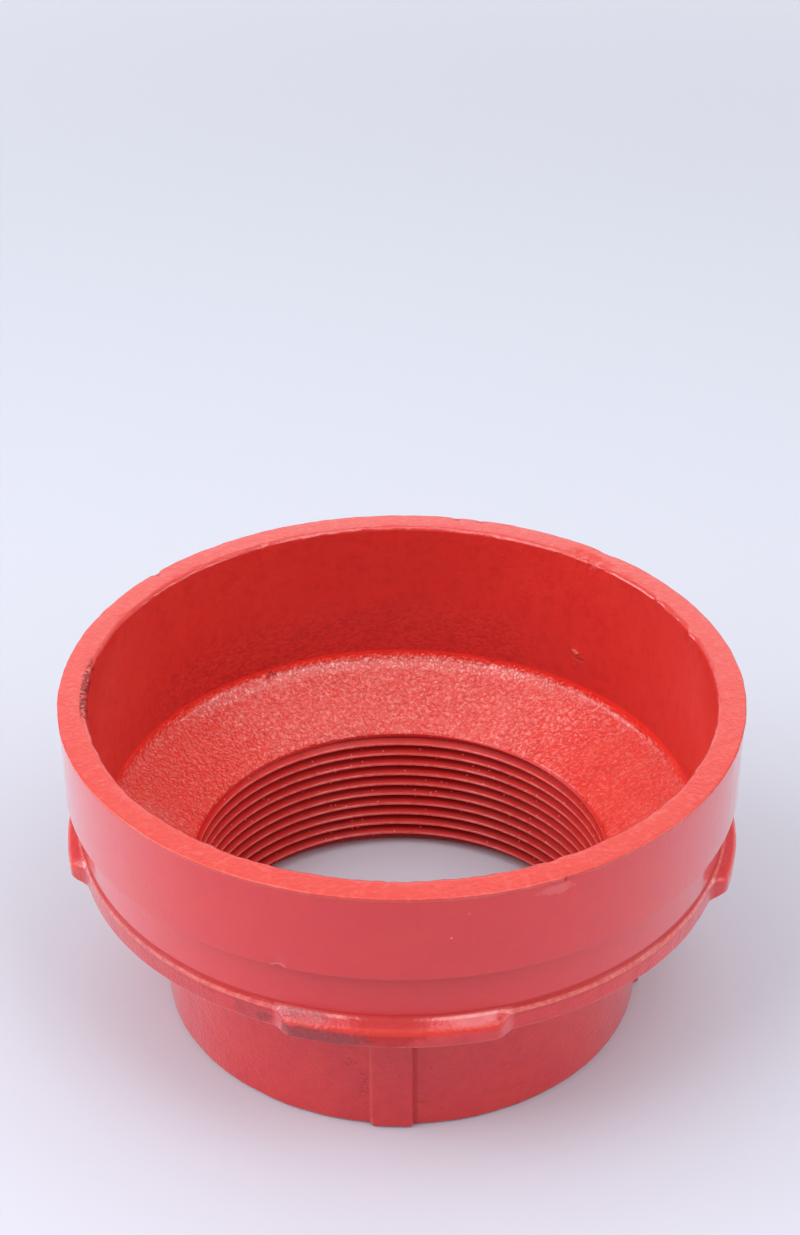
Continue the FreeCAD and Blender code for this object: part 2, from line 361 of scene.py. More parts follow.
def thread_rows(angles):
    """Rows that climb with the thread, so that each follows one line of its section."""
    lowest = math.floor((THREAD_FOOT - CREST_HEIGHT) / THREAD_PITCH) - 1
    highest = math.ceil((THREAD_HEAD - CREST_HEIGHT) / THREAD_PITCH) + 1
    rows = []
    for turn in range(lowest, highest + 1):
        for share, depth in THREAD_SECTION:
            row = []
            for angle in angles:
                climb = (angle - CREST_ANGLE) / FULL_TURN
                height = CREST_HEIGHT + THREAD_PITCH * (turn + share + climb)
                height = min(max(height, THREAD_FOOT), THREAD_HEAD)
                fade = smooth_step((height - THREAD_FADE_START) / (THREAD_HEAD - THREAD_FADE_START))
                kept = 1 - fade * (1 - THREAD_FADE_LEFT)
                radius = max(CREST_RADIUS + THREAD_DEPTH * depth * kept, bevel_radius(height))
                if height in (THREAD_FOOT, THREAD_HEAD):
                    radius = bevel_radius(height)
                spin = math.radians(angle)
                row.append((radius * math.cos(spin), radius * math.sin(spin), height))
            rows.append(row)
    return np.array(rows)


class Skin:
    """Collects the points and faces of a mesh."""

    def __init__(self):
        self.points = []
        self.faces = []
        self.finishes = []

    def add_rows(self, rows):
        """Adds a grid of points and gives their numbers, a row at a time."""
        start = len(self.points)
        height, width = rows.shape[:2]
        self.points += rows.reshape(-1, 3).tolist()
        return [list(range(start + row * width, start + (row + 1) * width)) for row in range(height)]

    def add_strip(self, lower, upper, finish, closed=True):
        """Faces between two rows with as many points."""
        last = len(lower) if closed else len(lower) - 1
        for here in range(last):
            there = (here + 1) % len(lower)
            self.faces.append((lower[here], lower[there], upper[there], upper[here]))
            self.finishes.append(finish)

    def add_seam(self, fine, coarse, places, finish, flipped):
        """Faces between a row and one with fewer points, which stand at some places of the first."""
        for here in range(len(coarse)):
            there = (here + 1) % len(coarse)
            start = places[here]
            end = places[there] if there else len(fine)
            run = [fine[number % len(fine)] for number in range(start, end + 1)]
            face = run + [coarse[there], coarse[here]]
            self.faces.append(tuple(reversed(face)) if flipped else tuple(face))
            self.finishes.append(finish)


FINISHES = ["machined", "cup_wall", "cup_floor", "cast", "thread"]

# How far a point of the rim's face may be off its height, and how far its row is from the edge
SAME_HEIGHT = 0.01
RIM_ROW_INSET = 1.0


def reducer_skin():
    """The whole casting as one closed skin."""
    plain, strips = section(outside_corners())
    lug, _ = section(outside_corners(
        ring_radius=LUG_RADIUS, ring_foot=RING_FOOT + LUG_FOOT_RISE,
        ledge_foot=GROOVE_FOOT - LUG_ROOT_DROP,
        ledge_crest=GROOVE_FOOT - LUG_BEVEL, ledge_fill=LUG_ROOT_FILL,
        crest_round=LUG_CREST_ROUND))
    rib, _ = section(outside_corners(neck_radius=RIB_FACE))

    def outline_at(angle):
        return plain + lug_share(angle) * (lug - plain) + rib_share(angle) * (rib - plain)

    def plain_at(angle):
        return plain

    coarse_angles = column_angles(step=THREAD_STEP)
    outside_angles = column_angles(outside_extra() + mark_extra(outside=True))
    inside_angles = column_angles(mark_extra(outside=False))
    outside_places = [outside_angles.index(angle) for angle in coarse_angles]
    inside_places = [inside_angles.index(angle) for angle in coarse_angles]

    # The coarse row between outside and inside lies in the rim's flat face
    on_face = plain[:, 1] > RIM_HEIGHT - SAME_HEIGHT
    off_edge = plain[:, 0] < SPIGOT_RADIUS - RIM_ROW_INSET
    rim_row = int(np.argmax(on_face & off_edge))
    outside = turned(outline_at, outside_angles)[1:rim_row]
    rim = turned(plain_at, coarse_angles)[rim_row:rim_row + 1]
    inside = turned(plain_at, inside_angles)[rim_row + 1:-1]
    foot = turned(plain_at, coarse_angles)[:1]
    head = turned(plain_at, coarse_angles)[-1:]

    skin = Skin()
    foot_row = skin.add_rows(foot)[0]
    outside_rows = skin.add_rows(outside)
    rim_points = skin.add_rows(rim)[0]
    inside_rows = skin.add_rows(inside)
    head_row = skin.add_rows(head)[0]
    skin.add_seam(outside_rows[0], foot_row, outside_places, strips[0], flipped=True)
    for number in range(len(outside_rows) - 1):
        skin.add_strip(outside_rows[number], outside_rows[number + 1], strips[number + 1])
    skin.add_seam(outside_rows[-1], rim_points, outside_places, "machined", flipped=False)
    skin.add_seam(inside_rows[0], rim_points, inside_places, "machined", flipped=True)
    for number in range(len(inside_rows) - 1):
        skin.add_strip(inside_rows[number], inside_rows[number + 1], strips[rim_row + 1 + number])
    skin.add_seam(inside_rows[-1], head_row, inside_places, strips[-1], flipped=False)
    band = skin.add_rows(thread_rows(coarse_angles + [FULL_TURN]))
    for number in range(len(band) - 1):
        skin.add_strip(band[number + 1], band[number], "thread", closed=False)
    return skin


def cylinder_point(angle, radius, height):
    turn = math.radians(angle)
    return Vector((radius * math.cos(turn), radius * math.sin(turn), height))


# The narrowest that a face counts as, in radians round the pipe axis, how near to each other two
# points are joined, and how short an edge is dropped
NARROWEST = 0.001
SAME_POINT = 0.002
SHORTEST_EDGE = 0.001

# How far each finish waves in and out, over long and short waves
Waves = namedtuple("Waves", "long_length long_depth short_length short_depth")
WAVES = {
    "machined": Waves(14.0, 0.03, 5.0, 0.012),
    "cup_wall": Waves(9.0, 0.14, 3.2, 0.05),
    "cup_floor": Waves(8.0, 0.12, 3.0, 0.06),
    "cast": Waves(8.0, 0.12, 2.6, 0.06),
    "thread": Waves(20.0, 0.02, 4.0, 0.01),
}


SHORT_WAVE_SHIFT = Vector((7.0, 3.0, 5.0))

# How the rim's two edges waver: where each lies, how far from it, over what length and how deep, and
# how far the waves are sunk
EdgeWaves = namedtuple("EdgeWaves", "radius reach length depth sunk")
RIM_EDGES = [EdgeWaves(RIM_BORE_RADIUS, 0.8, 1.7, 0.22, 0.0),
             EdgeWaves(SPIGOT_RADIUS, 0.6, 2.2, 0.09, 0.2)]
RIM_EDGE_DEPTH = 1.5

# How far a mark spreads, in times its own reach, and how uneven it is
MARK_SPREAD = 3
MARK_GRAIN = 0.8
MARK_UNEVEN = 0.8


def cast_offset(point, finish):
    """How far the cast and painted surface stands off the drawn one at a point."""
    waves = WAVES[finish]
    offset = waves.long_depth * noise.noise(point / waves.long_length)
    offset += waves.short_depth * noise.noise(point / waves.short_length + SHORT_WAVE_SHIFT)
    if point.z > RIM_HEIGHT - RIM_EDGE_DEPTH:
        for edge in RIM_EDGES:
            near = math.exp(-((point.xy.length - edge.radius) / edge.reach) ** 2)
            offset += edge.depth * near * (noise.noise(point / edge.length) - edge.sunk)
    for mark in MARKS:
        apart = (point - cylinder_point(mark.angle, mark.radius, mark.height)).length
        if apart < MARK_SPREAD * mark.reach:
            uneven = 1 + MARK_UNEVEN * noise.noise(point / MARK_GRAIN)
            offset += mark.rise * uneven * math.exp(-(apart / mark.reach) ** 2)
    return offset


def turn_width(mesh, face):
    """How far a face reaches round the pipe axis, in radians."""
    middle = face.center
    turns = []
    for number in face.vertices:
        point = mesh.vertices[number].co
        turns.append(math.atan2(middle.x * point.y - middle.y * point.x, middle.xy.dot(point.xy)))
    return max(turns) - min(turns)


def weighted_normals(mesh):
    """Normals of the points, in which a face counts for more the taller and narrower it is."""
    normals = np.zeros((len(mesh.vertices), 3))
    for face in mesh.polygons:
        pull = np.array(face.normal) * face.area / max(turn_width(mesh, face), NARROWEST) ** 2
        for number in face.vertices:
            normals[number] += pull
    return normals / np.linalg.norm(normals, axis=1, keepdims=True)


def wave_surface(mesh):
    """Moves the points off the drawn surface, inside the box of the solid."""
    finish_of = {}
    for face in mesh.polygons:
        for number in face.vertices:
            finish_of[number] = FINISHES[face.material_index]
    normals = weighted_normals(mesh)
    for vertex in mesh.vertices:
        point = vertex.co / MM
        moved = point + Vector(normals[vertex.index]) * cast_offset(point, finish_of[vertex.index])
        moved.x = min(max(moved.x, -LUG_RADIUS), LUG_RADIUS)
        moved.y = min(max(moved.y, -LUG_RADIUS), LUG_RADIUS)
        moved.z = min(max(moved.z, 0.0), RIM_HEIGHT)
        vertex.co = moved * MM


def make_casting(skin, materials):
    """The mesh of the casting, with points in the same place joined."""
    mesh = bpy.data.meshes.new("reducer_casting")
    mesh.from_pydata([(x * MM, y * MM, z * MM) for x, y, z in skin.points], [], skin.faces)
    for finish in FINISHES:
        mesh.materials.append(materials[finish])
    mesh.polygons.foreach_set("material_index", [FINISHES.index(finish) for finish in skin.finishes])
    work = bmesh.new()
    work.from_mesh(mesh)
    bmesh.ops.remove_doubles(work, verts=work.verts, dist=SAME_POINT * MM)
    bmesh.ops.dissolve_degenerate(work, edges=work.edges, dist=SHORTEST_EDGE * MM)
    work.to_mesh(mesh)
    work.free()
    wave_surface(mesh)
    mesh.update()
    mesh.shade_smooth()
    mesh.normals_split_custom_set_from_vertices([tuple(normal) for normal in weighted_normals(mesh)])
    casting = bpy.data.objects.new("reducer_casting", mesh)
    bpy.context.scene.collection.objects.link(casting)
    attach(casting, BODY)
    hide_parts(NODE)


# Colours of the enamel, of the enamel that is worn, rubbed, chipped or dusty, and of painted light and
# shade on it
ENAMEL = (0.66, 0.026, 0.021, 1)
COOL_ENAMEL = (0.665, 0.030, 0.037, 1)
CAST_ENAMEL = (0.635, 0.0275, 0.036, 1)
WALL_ENAMEL = (0.62, 0.025, 0.019, 1)
# A lighter copy of the red for the funnel floor, which faces up: painted light
LIT_SHELF_ENAMEL = (0.72, 0.029, 0.016, 1)
LIT_ENAMEL = (0.95, 0.030, 0.018, 1)
THIN_ENAMEL = (0.74, 0.050, 0.024, 1)
# Deep enamel for random tone, pits and specks, and for painted shade
DEEP_ENAMEL_AND_SHADE = (0.46, 0.011, 0.011, 1)
RIM_ENAMEL = (0.67, 0.059, 0.042, 1)
# Painted shade, in the groove's foot and on the middle of the front lug's upper side
SHADE_ENAMEL = (0.50, 0.008, 0.006, 1)
# A chip in the rim's paint, and painted shade in the thread's roots
CHIP_AND_ROOT_SHADE = (0.33, 0.003, 0.002, 1)
RUBBED_ENAMEL = (0.25, 0.032, 0.036, 1)
WORN_ENAMEL = (0.20, 0.012, 0.010, 1)
DUSTY_ENAMEL = (0.45, 0.075, 0.080, 1)
# Pale flecks, and painted highlights
FLECK_AND_HIGHLIGHT = (0.85, 0.22, 0.18, 1)
GLINT = (0.92, 0.38, 0.34, 1)

# Bands of the casting: what is measured, its two ends, and how far its edges fade
Band = namedtuple("Band", "measure low high soft")
BANDS = {
    "rim_face": Band("Height", RIM_HEIGHT - 0.4, RIM_HEIGHT + 1.0, 0.3),
    "rim_outer_edge": Band("Radius", 56.8, 59.0, 0.2),
    "rim_inner_edge": Band("Radius", 52.2, 53.4, 0.35),
    "rim_wear": Band("Height", RIM_HEIGHT - 0.9, RIM_HEIGHT + 1.0, 0.5),
    "groove_floor": Band("Radius", 50.0, GROOVE_RADIUS + 0.22, 0.22),
    "groove_foot": Band("Height", GROOVE_FOOT - 0.85, GROOVE_FOOT - 0.15, 0.3),
    "wall_top": Band("Height", RIM_HEIGHT - 0.4, RIM_HEIGHT + 1.0, 0.15),
    "wall_back": Band("Angle", 70.0, 120.0, 35.0),
    "wall_low": Band("Height", 30.0, 40.0, 9.0),
    "wall_coarse": Band("Angle", 75.0, 145.0, 22.0),
    "wall_foot": Band("Height", FLOOR_RIM_HEIGHT + 0.7, FLOOR_RIM_HEIGHT + 1.6, 0.4),
    "floor_back": Band("Angle", 60.0, 125.0, 30.0),
    "floor_unlit": Band("Angle", -130.0, 25.0, 50.0),
    "floor_corner": Band("Radius", 49.4, 50.9, 1.0),
    "corner_back": Band("Angle", 70.0, 130.0, 22.0),
    "ledge_height": Band("Height", RING_LEDGE - RING_LEDGE_SLOPE - 0.1, RING_LEDGE - 0.15, 0.2),
    "ledge_radius": Band("Radius", GROOVE_RADIUS + 0.25, RING_RADIUS + 0.2, 0.15),
    "hollow_height": Band("Height", 33.95, 34.3, 0.15),
    "hollow_radius": Band("Radius", GROOVE_RADIUS + 0.35, RING_RADIUS + 0.3, 0.15),
    "lug_top": Band("Radius", 55.2, 58.5, 0.3),
    "lug_crest_height": Band("Height", GROOVE_FOOT - LUG_BEVEL - 0.3,
                             GROOVE_FOOT - LUG_BEVEL + 0.35, 0.3),
    "lug_crest_radius": Band("Radius", 56.9, 58.5, 0.3),
    "lug_face_radius": Band("Radius", 57.0, 58.5, 0.2),
    "lug_face_height": Band("Height", 30.0, 33.8, 0.5),
    "ring_face": Band("Radius", 53.5, 56.5, 0.6),
    "neck": Band("Height", -1.0, NECK_SHOULDER + 1.5, 1.5),
    "thread_turns": Band("Height", THREAD_FOOT + 0.3, THREAD_HEAD - 1.5, 0.8),
    "thread_right": Band("Angle", -20.0, 35.0, 30.0),
}

# Marks in the paint: the middle of each, how far it reaches, and how ragged its edge is
Patch = namedtuple("Patch", "angle half_angle height half_height ragged")
PATCHES = {
    "seat_speck": Patch(-80.3, 0.25, 52.9, 0.27, 0.5),
    "small_seat_speck": Patch(-77.6, 0.25, 57.3, 0.27, 0.5),
    "seat_smear": Patch(-63.5, 3.4, 58.8, 0.9, 2.0),
    "rim_chip": Patch(-62.1, 0.35, 60.1, 0.6, 1.0),
    "seat_edge_nick": Patch(-107.3, 1.3, 45.2, 0.35, 1.2),
    "rim_wear": Patch(-175.7, 9.0, RIM_HEIGHT, 4.0, 2.8),
    "blister_top": Patch(53.6, 1.2, 41.6, 0.45, 1.6),
    "blister_foot": Patch(52.6, 1.4, 40.5, 0.35, 1.6),
    "floor_nick": Patch(121.4, 1.3, 33.5, 0.5, 1.6),
    "lug_middle": Patch(-90.0, 6.5, 35.0, 4.0, 1.0),
    "lug_left_end": Patch(-104.0, 5.5, 35.2, 1.6, 1.0),
    "lug_right_end": Patch(-76.5, 5.0, 35.4, 1.0, 0.8),
    "lug_face": Patch(-101.0, 9.0, 32.8, 2.0, 1.3),
    "ring_stain": Patch(-113.0, 4.5, 32.8, 1.6, 1.6),
    "ring_end": Patch(-110.8, 1.5, 32.6, 1.1, 1.4),
    "lug_rough": Patch(-106.5, 9.0, 34.4, 2.2, 0.8),
    "ring_left": Patch(-142.0, 26.0, 33.0, 3.5, 0.8),
    "rib_specks": Patch(-96.4, 1.3, 9.0, 4.5, 1.6),
    "high_specks": Patch(-99.6, 1.8, 13.8, 1.0, 1.6),
    "foot_specks": Patch(-129.5, 0.9, 1.9, 0.8, 1.6),
}

# The enamel's ragged grain, its coat of gloss, and the roughness that worn spots are measured from
RAGGED_GRAIN = 1.3
COAT_ROUGHNESS = 0.12
USUAL_ROUGHNESS = 0.3
THREAD_SHEEN = 0.25


class Wiring:
    """Adds nodes to a tree and joins them."""

    def __init__(self, tree):
        self.tree = tree

    def node(self, kind, values=None, **settings):
        node = self.tree.nodes.new(kind)
        for name, setting in settings.items():
            setattr(node, name, setting)
        for name, value in (values or {}).items():
            self.put(node.inputs[name], value)
        return node

    def put(self, socket, value):
        if isinstance(value, bpy.types.NodeSocket):
            self.tree.links.new(value, socket)
        else:
            socket.default_value = value

    def math(self, operation, *values):
        node = self.node("ShaderNodeMath", operation=operation)
        for socket, value in zip(node.inputs, values):
            self.put(socket, value)
        return node.outputs[0]

    def times(self, first, *others):
        product = first
        for other in others:
            product = self.math("MULTIPLY", product, other)
        return product

    def vector(self, operation, first, second):
        node = self.node("ShaderNodeVectorMath", {0: first, 1: second}, operation=operation)
        return node.outputs[0]

    def fade(self, value, start, end, low=0.0, high=1.0):
        """Goes softly from low to high as the value goes from start to end."""
        node = self.node("ShaderNodeMapRange", {"Value": value, "From Min": start, "From Max": end,
                                                "To Min": low, "To Max": high},
                         interpolation_type="SMOOTHSTEP")
        return node.outputs[0]

    def between(self, mask, low, high):
        """Goes softly from low to high as the mask fills."""
        return self.fade(mask, 0.0, 1.0, low, high)

    def band(self, value, low, high, soft):
        """A mask that is full between two values and fades outside them."""
        return self.times(self.fade(value, low - soft, low), self.fade(value, high + soft, high))

    def mix(self, share, first, second):
        node = self.node("ShaderNodeMix", {0: share, 6: first, 7: second}, data_type="RGBA")
        return node.outputs[2]

    def noise(self, place, size, detail=2.0, roughness=0.5):
        scale = self.math("DIVIDE", 1.0, size)
        node = self.node("ShaderNodeTexNoise", {"Vector": place, "Scale": scale, "Detail": detail,
                                                "Roughness": roughness})
        return node.outputs["Fac"]

    def cells(self, place, size):
        scale = self.math("DIVIDE", 1.0, size)
        return self.node("ShaderNodeTexVoronoi", {"Vector": place, "Scale": scale}).outputs

    def group(self, tree, values=None):
        return self.node("ShaderNodeGroup", values, node_tree=tree).outputs


def new_group(name, inputs, outputs):
    """A node group, with the wiring inside it and its two end nodes."""
    tree = bpy.data.node_groups.new(name, "ShaderNodeTree")
    for label, (kind, value) in inputs.items():
        socket = tree.interface.new_socket(label, in_out="INPUT", socket_type="NodeSocket" + kind)
        if value is not None:
            socket.default_value = value
    for label, kind in outputs.items():
        tree.interface.new_socket(label, in_out="OUTPUT", socket_type="NodeSocket" + kind)
    wiring = Wiring(tree)
    return wiring, wiring.node("NodeGroupInput").outputs, wiring.node("NodeGroupOutput").inputs


def pipe_position_group():
    """Where a point lies round the pipe axis, in millimetres and degrees."""
    wiring, _, ends = new_group("pipe_position", {}, {
        "Place": "Vector", "Angle": "Float", "Radius": "Float", "Height": "Float"})
    here = wiring.node("ShaderNodeTexCoord").outputs["Object"]
    place = wiring.vector("MULTIPLY", here, (1 / MM, 1 / MM, 1 / MM))
    parts = wiring.node("ShaderNodeSeparateXYZ", {0: place}).outputs
    turn = wiring.math("ARCTAN2", parts["Y"], parts["X"])
    squares = wiring.math("ADD", wiring.times(parts["X"], parts["X"]),
                          wiring.times(parts["Y"], parts["Y"]))
    wiring.put(ends["Place"], place)
    wiring.put(ends["Angle"], wiring.math("DEGREES", turn))
    wiring.put(ends["Radius"], wiring.math("SQRT", squares))
    wiring.put(ends["Height"], parts["Z"])
    return wiring.tree


def enamel_peel_group():
    """The grain of sprayed enamel over sand-cast or turned iron, as a height."""
    wiring, start, ends = new_group("enamel_peel", {
        "Place": ("Vector", None), "Grain Size": ("Float", 0.4), "Swell Size": ("Float", 2.5),
        "Swell": ("Float", 0.5)}, {"Height": "Float", "Peaks": "Float"})
    grain = wiring.noise(start["Place"], start["Grain Size"], detail=1.0)
    swell = wiring.noise(start["Place"], start["Swell Size"], detail=1.0)
    swell = wiring.times(swell, start["Swell"])
    wiring.put(ends["Height"], wiring.math("ADD", wiring.fade(grain, 0.25, 0.75), swell))
    wiring.put(ends["Peaks"], wiring.fade(grain, 0.50, 0.72))
    return wiring.tree


def flattened(wiring, start):
    """The place with its height stretched, on which a pattern comes out flatter."""
    stretch = wiring.node("ShaderNodeCombineXYZ", {0: 1.0, 1: 1.0, 2: start["Flatness"]}).outputs[0]
    return wiring.vector("MULTIPLY", start["Place"], stretch)


def cast_bumps_group():
    """Rounded bumps that lie side by side, as a height."""
    wiring, start, ends = new_group("cast_bumps", {
        "Place": ("Vector", None), "Bump Size": ("Float", 0.8), "Flatness": ("Float", 1.0)},
        {"Height": "Float"})
    place = flattened(wiring, start)
    scale = wiring.math("DIVIDE", 1.0, start["Bump Size"])
    bend = wiring.node("ShaderNodeTexNoise", {"Vector": place, "Scale": scale, "Detail": 0.0})
    bend = wiring.vector("MULTIPLY", bend.outputs["Color"], start["Bump Size"])
    cells = wiring.cells(wiring.vector("ADD", place, bend), start["Bump Size"])
    wiring.put(ends["Height"], wiring.fade(cells["Distance"], 0.85, 0.0))
    return wiring.tree


def enamel_tone_group():
    """The enamel's colour, which varies with its thickness."""
    wiring, start, ends = new_group("enamel_tone", {
        "Place": ("Vector", None), "Enamel": ("Color", ENAMEL), "Thin": ("Color", THIN_ENAMEL),
        "Deep": ("Color", DEEP_ENAMEL_AND_SHADE), "Patch Size": ("Float", 6.0), "Thin Share": ("Float", 0.5),
        "Deep Share": ("Float", 0.3)}, {"Color": "Color"})
    patches = wiring.fade(wiring.noise(start["Place"], start["Patch Size"], detail=3.0), 0.35, 0.70)
    thin = wiring.mix(wiring.times(patches, start["Thin Share"]), start["Enamel"], start["Thin"])
    shifted = wiring.vector("ADD", start["Place"], (31.0, 17.0, 23.0))
    spot_size = wiring.times(start["Patch Size"], 0.35)
    spots = wiring.fade(wiring.noise(shifted, spot_size, detail=3.0), 0.45, 0.75)
    deep = wiring.mix(wiring.times(spots, start["Deep Share"]), thin, start["Deep"])
    wiring.put(ends["Color"], deep)
    return wiring.tree


def scattered_spots_group():
    """Spots of about one size, strewn over the surface, as a mask."""
    wiring, start, ends = new_group("scattered_spots", {
        "Place": ("Vector", None), "Spacing": ("Float", 2.0), "Spot Size": ("Float", 0.3),
        "Share": ("Float", 0.2), "Flatness": ("Float", 1.0)}, {"Mask": "Float"})
    cells = wiring.cells(flattened(wiring, start), start["Spacing"])
    reach = wiring.times(cells["Distance"], start["Spacing"])
    near = wiring.fade(wiring.math("DIVIDE", reach, start["Spot Size"]), 1.2, 0.6)
    lot = wiring.node("ShaderNodeSeparateColor", {0: cells["Color"]}).outputs[0]
    drawn = wiring.math("LESS_THAN", lot, start["Share"])
    wiring.put(ends["Mask"], wiring.times(near, drawn))
    return wiring.tree


def worn_patch_group():
    """A ragged patch round one angle and height of the casting, as a mask."""
    wiring, start, ends = new_group("worn_patch", {
        "Grain": ("Float", 0.5), "Angle": ("Float", 0.0), "Height": ("Float", 0.0),
        "Middle Angle": ("Float", 0.0), "Half Angle": ("Float", 5.0),
        "Middle Height": ("Float", 0.0), "Half Height": ("Float", 1.0),
        "Ragged": ("Float", 1.0)}, {"Mask": "Float"})
    off = wiring.math("SUBTRACT", start["Angle"], start["Middle Angle"])
    off = wiring.math("MODULO", wiring.math("ADD", off, 1.5 * FULL_TURN), FULL_TURN)
    along = wiring.math("DIVIDE", wiring.math("SUBTRACT", off, FULL_TURN / 2), start["Half Angle"])
    up = wiring.math("SUBTRACT", start["Height"], start["Middle Height"])
    up = wiring.math("DIVIDE", up, start["Half Height"])
    squares = wiring.math("ADD", wiring.times(along, along), wiring.times(up, up))
    grain = wiring.math("SUBTRACT", start["Grain"], 0.5)
    apart = wiring.math("ADD", wiring.math("SQRT", squares), wiring.times(grain, start["Ragged"]))
    wiring.put(ends["Mask"], wiring.fade(apart, 1.15, 0.6))
    return wiring.tree


class Enamel:
    """The enamelled surface that the five materials start from."""

    def __init__(self, name, groups, enamel, roughness, grain_size, grain_depth, swell, thin_share,
                 deep_share, coat, edge_coat=1.0, coat_from=0.2, coat_to=0.55, patch_size=6.0):
        self.material = bpy.data.materials.new(name)
        self.material.use_nodes = True
        self.groups = groups
        self.wiring = Wiring(self.material.node_tree)
        self.shader = self.material.node_tree.nodes["Principled BSDF"]
        self.position = self.wiring.group(groups["pipe_position"])
        self.place = self.position["Place"]
        self.color = self.wiring.group(groups["enamel_tone"], {
            "Place": self.place, "Enamel": enamel, "Patch Size": patch_size,
            "Thin Share": thin_share, "Deep Share": deep_share})["Color"]
        peel = self.wiring.group(groups["enamel_peel"], {
            "Place": self.place, "Grain Size": grain_size, "Swell": swell})
        self.height = peel["Height"]
        self.peaks = peel["Peaks"]
        self.ragged_grain = self.wiring.noise(self.place, RAGGED_GRAIN, detail=3.0, roughness=0.65)
        self.roughness = roughness
        facing = self.wiring.node("ShaderNodeLayerWeight").outputs["Facing"]
        self.coat = self.wiring.fade(facing, coat_from, coat_to, coat, edge_coat)
        self.grain_depth = grain_depth

    def band(self, *names):
        """A mask that is full where all of the named bands are."""
        masks = []
        for name in names:
            spot = BANDS[name]
            measure = self.position[spot.measure]
            masks.append(self.wiring.band(measure, spot.low, spot.high, spot.soft))
        return self.wiring.times(*masks)

    def patch(self, name):
        """The mask of a named mark."""
        spot = PATCHES[name]
        return self.wiring.group(self.groups["worn_patch"], {
            "Grain": self.ragged_grain, "Angle": self.position["Angle"],
            "Height": self.position["Height"], "Middle Angle": spot.angle,
            "Half Angle": spot.half_angle, "Middle Height": spot.height,
            "Half Height": spot.half_height, "Ragged": spot.ragged})["Mask"]

    def spots(self, spacing, size, share, flatness=1.0):
        return self.wiring.group(self.groups["scattered_spots"], {
            "Place": self.place, "Spacing": spacing, "Spot Size": size, "Share": share,
            "Flatness": flatness})["Mask"]

    def bumps(self, size, flatness=1.0):
        return self.wiring.group(self.groups["cast_bumps"], {
            "Place": self.place, "Bump Size": size, "Flatness": flatness})["Height"]

    def uneven(self, mask, start, end, low, high=1.0):
        """Weakens a mask from high to low where the ragged grain goes down from end to start."""
        return self.wiring.times(mask, self.wiring.fade(self.ragged_grain, start, end, low, high))

    def rest(self, mask, share):
        """What is left of the surface when a share of a mask is taken off it."""
        return self.wiring.math("SUBTRACT", 1.0, self.wiring.times(mask, share))

    def paint(self, mask, color, share=1.0, roughness=None):
        """Lays a share of a colour over the enamel, and makes it dull where a roughness is given."""
        mask = self.wiring.times(mask, share)
        self.color = self.wiring.mix(mask, self.color, color)
        if roughness is not None:
            self.dull(mask)
            step = self.wiring.times(mask, roughness - USUAL_ROUGHNESS)
            self.roughness = self.wiring.math("ADD", step, self.roughness)

    def gloss(self, mask, share=1.0):
        """Gives the enamel a coat of gloss where the mask is full."""
        self.coat = self.wiring.math("MAXIMUM", self.coat, self.wiring.times(mask, share))

    def dull(self, mask, share=1.0):
        """Takes the coat of gloss off where the mask is full."""
        self.coat = self.wiring.times(self.coat, self.rest(mask, share))

    def smooth(self, mask, share=1.0):
        """Flattens the grain where the mask is full."""
        self.height = self.wiring.times(self.height, self.rest(mask, share))

    def lift(self, mask, grains):
        """Raises or sinks the surface where the mask is full, in grain depths."""
        self.height = self.wiring.math("ADD", self.height, self.wiring.times(mask, grains))

    def finish(self):
        bump = self.wiring.node("ShaderNodeBump", {
            "Height": self.height, "Distance": self.grain_depth * MM, "Strength": 1.0})
        self.wiring.put(self.shader.inputs["Base Color"], self.color)
        self.wiring.put(self.shader.inputs["Roughness"], self.roughness)
        self.wiring.put(self.shader.inputs["Coat Weight"], self.coat)
        self.wiring.put(self.shader.inputs["Coat Roughness"], COAT_ROUGHNESS)
        self.wiring.put(self.shader.inputs["Normal"], bump.outputs[0])
        return self.material


def machined_enamel(groups):
    """Smooth enamel on the turned rim, seat and groove."""
    surface = Enamel("machined_enamel", groups, COOL_ENAMEL, roughness=0.28, grain_size=0.9,
                     grain_depth=0.012, swell=1.0, thin_share=0.2, deep_share=0.06, coat=0.25,
                     coat_from=0.25, coat_to=0.62, patch_size=4.0)
    wiring = surface.wiring
    # The rim's face is warmer and mottled
    rim_face = surface.band("rim_face")
    surface.paint(surface.uneven(rim_face, 0.3, 0.7, 0.65), RIM_ENAMEL)
    surface.paint(wiring.times(rim_face, surface.peaks), FLECK_AND_HIGHLIGHT, share=0.16)
    surface.lift(wiring.times(rim_face, surface.bumps(size=0.9)), grains=3.0)
    surface.dull(rim_face, share=0.5)
    lose_rim_paint(surface)
    # A few specks and a smear on the seat
    surface.paint(surface.patch("seat_speck"), FLECK_AND_HIGHLIGHT, share=0.7)
    surface.paint(surface.patch("small_seat_speck"), FLECK_AND_HIGHLIGHT, share=0.3)
    smear = surface.patch("seat_smear")
    surface.paint(smear, FLECK_AND_HIGHLIGHT, share=0.22)
    surface.gloss(smear, share=0.6)
    chip = wiring.times(surface.patch("rim_chip"), surface.band("rim_outer_edge"))
    surface.paint(chip, CHIP_AND_ROOT_SHADE, share=0.7, roughness=0.5)
    surface.paint(surface.patch("seat_edge_nick"), FLECK_AND_HIGHLIGHT, share=0.5)
    paint_groove_foot_shade(surface)
    return surface.finish()


def paint_groove_foot_shade(surface):
    """Paints shade in the corner where the stop ring meets the groove."""
    foot = surface.band("groove_floor", "groove_foot")
    surface.paint(foot, SHADE_ENAMEL, share=0.85, roughness=0.5)


